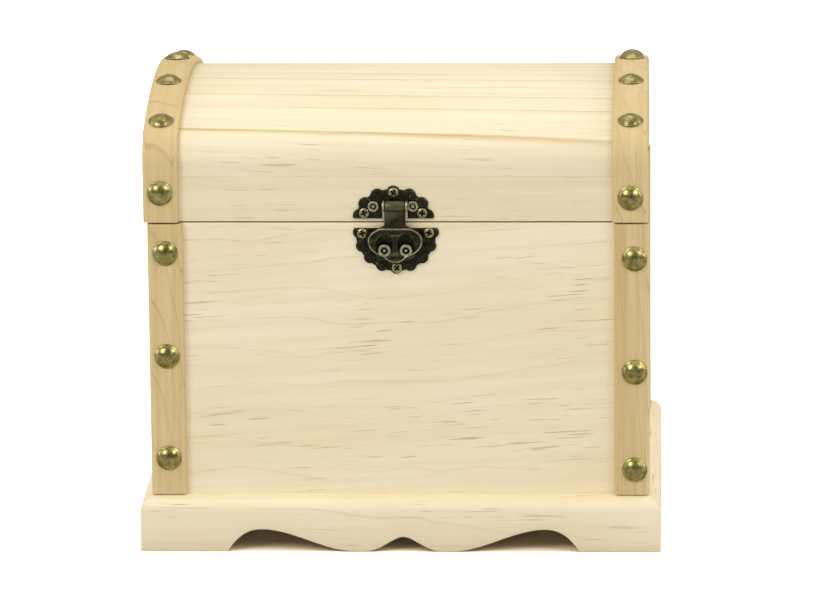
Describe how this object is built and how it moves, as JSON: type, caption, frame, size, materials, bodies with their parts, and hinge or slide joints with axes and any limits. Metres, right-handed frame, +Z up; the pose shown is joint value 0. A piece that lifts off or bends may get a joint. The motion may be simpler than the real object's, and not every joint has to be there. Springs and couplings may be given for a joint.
{
  "type": "treasure chest",
  "caption": "Closed barrel-top wooden treasure chest with a hinged domed lid, studded corner straps, front drop latch and scalloped base.",
  "frame": {"origin": "centre of the base's footprint, on the ground plane under the base", "axes": "+X to the viewer's right when facing the latch, -Y out of the front, +Z up"},
  "size_m": [0.2044, 0.1594, 0.1803],
  "materials": {
    "pine": "unfinished pale pine, sanded, matt",
    "strap_pine": "darker tan pine lath, sanded, grain along its length",
    "dome_nail_brass": "antiqued brass, polished dome",
    "antique_bronze": "dark antiqued bronze, worn bright at the edges",
    "screw_worn_brass": "worn brass plating, cross recess"
  },
  "bodies": {
    "case": {"base_front": "pine", "base_back": "pine", "base_left": "pine", "base_right": "pine", "front_panel": "pine", "back_panel": "pine", "left_panel": "pine", "right_panel": "pine", "bottom_panel": "pine", "strap_front_left": "strap_pine", "strap_back_left": "strap_pine", "side_strip_left_front": "strap_pine", "side_strip_left_back": "strap_pine", "strap_front_right": "strap_pine", "strap_back_right": "strap_pine", "side_strip_right_front": "strap_pine", "side_strip_right_back": "strap_pine", "latch_lower_plate": "antique_bronze", "screw_lower_1": "screw_worn_brass", "screw_lower_2": "screw_worn_brass", "screw_lower_3": "screw_worn_brass", "hinge_left_case_leaf": "antique_bronze", "hinge_left_pin": "antique_bronze", "hinge_right_case_leaf": "antique_bronze", "hinge_right_pin": "antique_bronze", "nail_case_left_1": "dome_nail_brass", "nail_case_left_2": "dome_nail_brass", "nail_case_left_3": "dome_nail_brass", "nail_case_right_1": "dome_nail_brass", "nail_case_right_2": "dome_nail_brass", "nail_case_right_3": "dome_nail_brass"},
    "lid": {"lid_front_rail": "pine", "lid_back_rail": "pine", "lid_left_end": "pine", "lid_right_end": "pine", "lid_top_board": "pine", "lid_strap_left": "strap_pine", "lid_end_strip_left": "strap_pine", "lid_strap_right": "strap_pine", "lid_end_strip_right": "strap_pine", "latch_upper_plate": "antique_bronze", "latch_pin": "antique_bronze", "screw_upper_1": "screw_worn_brass", "screw_upper_2": "screw_worn_brass", "screw_upper_3": "screw_worn_brass", "hinge_left_lid_leaf": "antique_bronze", "hinge_right_lid_leaf": "antique_bronze", "nail_lid_left_1": "dome_nail_brass", "nail_lid_left_2": "dome_nail_brass", "nail_lid_left_3": "dome_nail_brass", "nail_lid_left_4": "dome_nail_brass", "nail_lid_left_5": "dome_nail_brass", "nail_lid_left_6": "dome_nail_brass", "nail_lid_right_1": "dome_nail_brass", "nail_lid_right_2": "dome_nail_brass", "nail_lid_right_3": "dome_nail_brass", "nail_lid_right_4": "dome_nail_brass", "nail_lid_right_5": "dome_nail_brass", "nail_lid_right_6": "dome_nail_brass"},
    "hasp": {"latch_tongue": "antique_bronze"}
  },
  "joints": [
    {"name": "lid_hinge", "type": "hinge", "parent": "case", "child": "lid", "pos_m": [0, 0.0742, 0.1313], "axis": [-1, 0, 0], "range_deg": [0, 105]},
    {"name": "hasp_swing", "type": "hinge", "parent": "lid", "child": "hasp", "pos_m": [-0.001, -0.0757, 0.1383], "axis": [-1, 0, 0], "range_deg": [0, 135]}
  ]
}
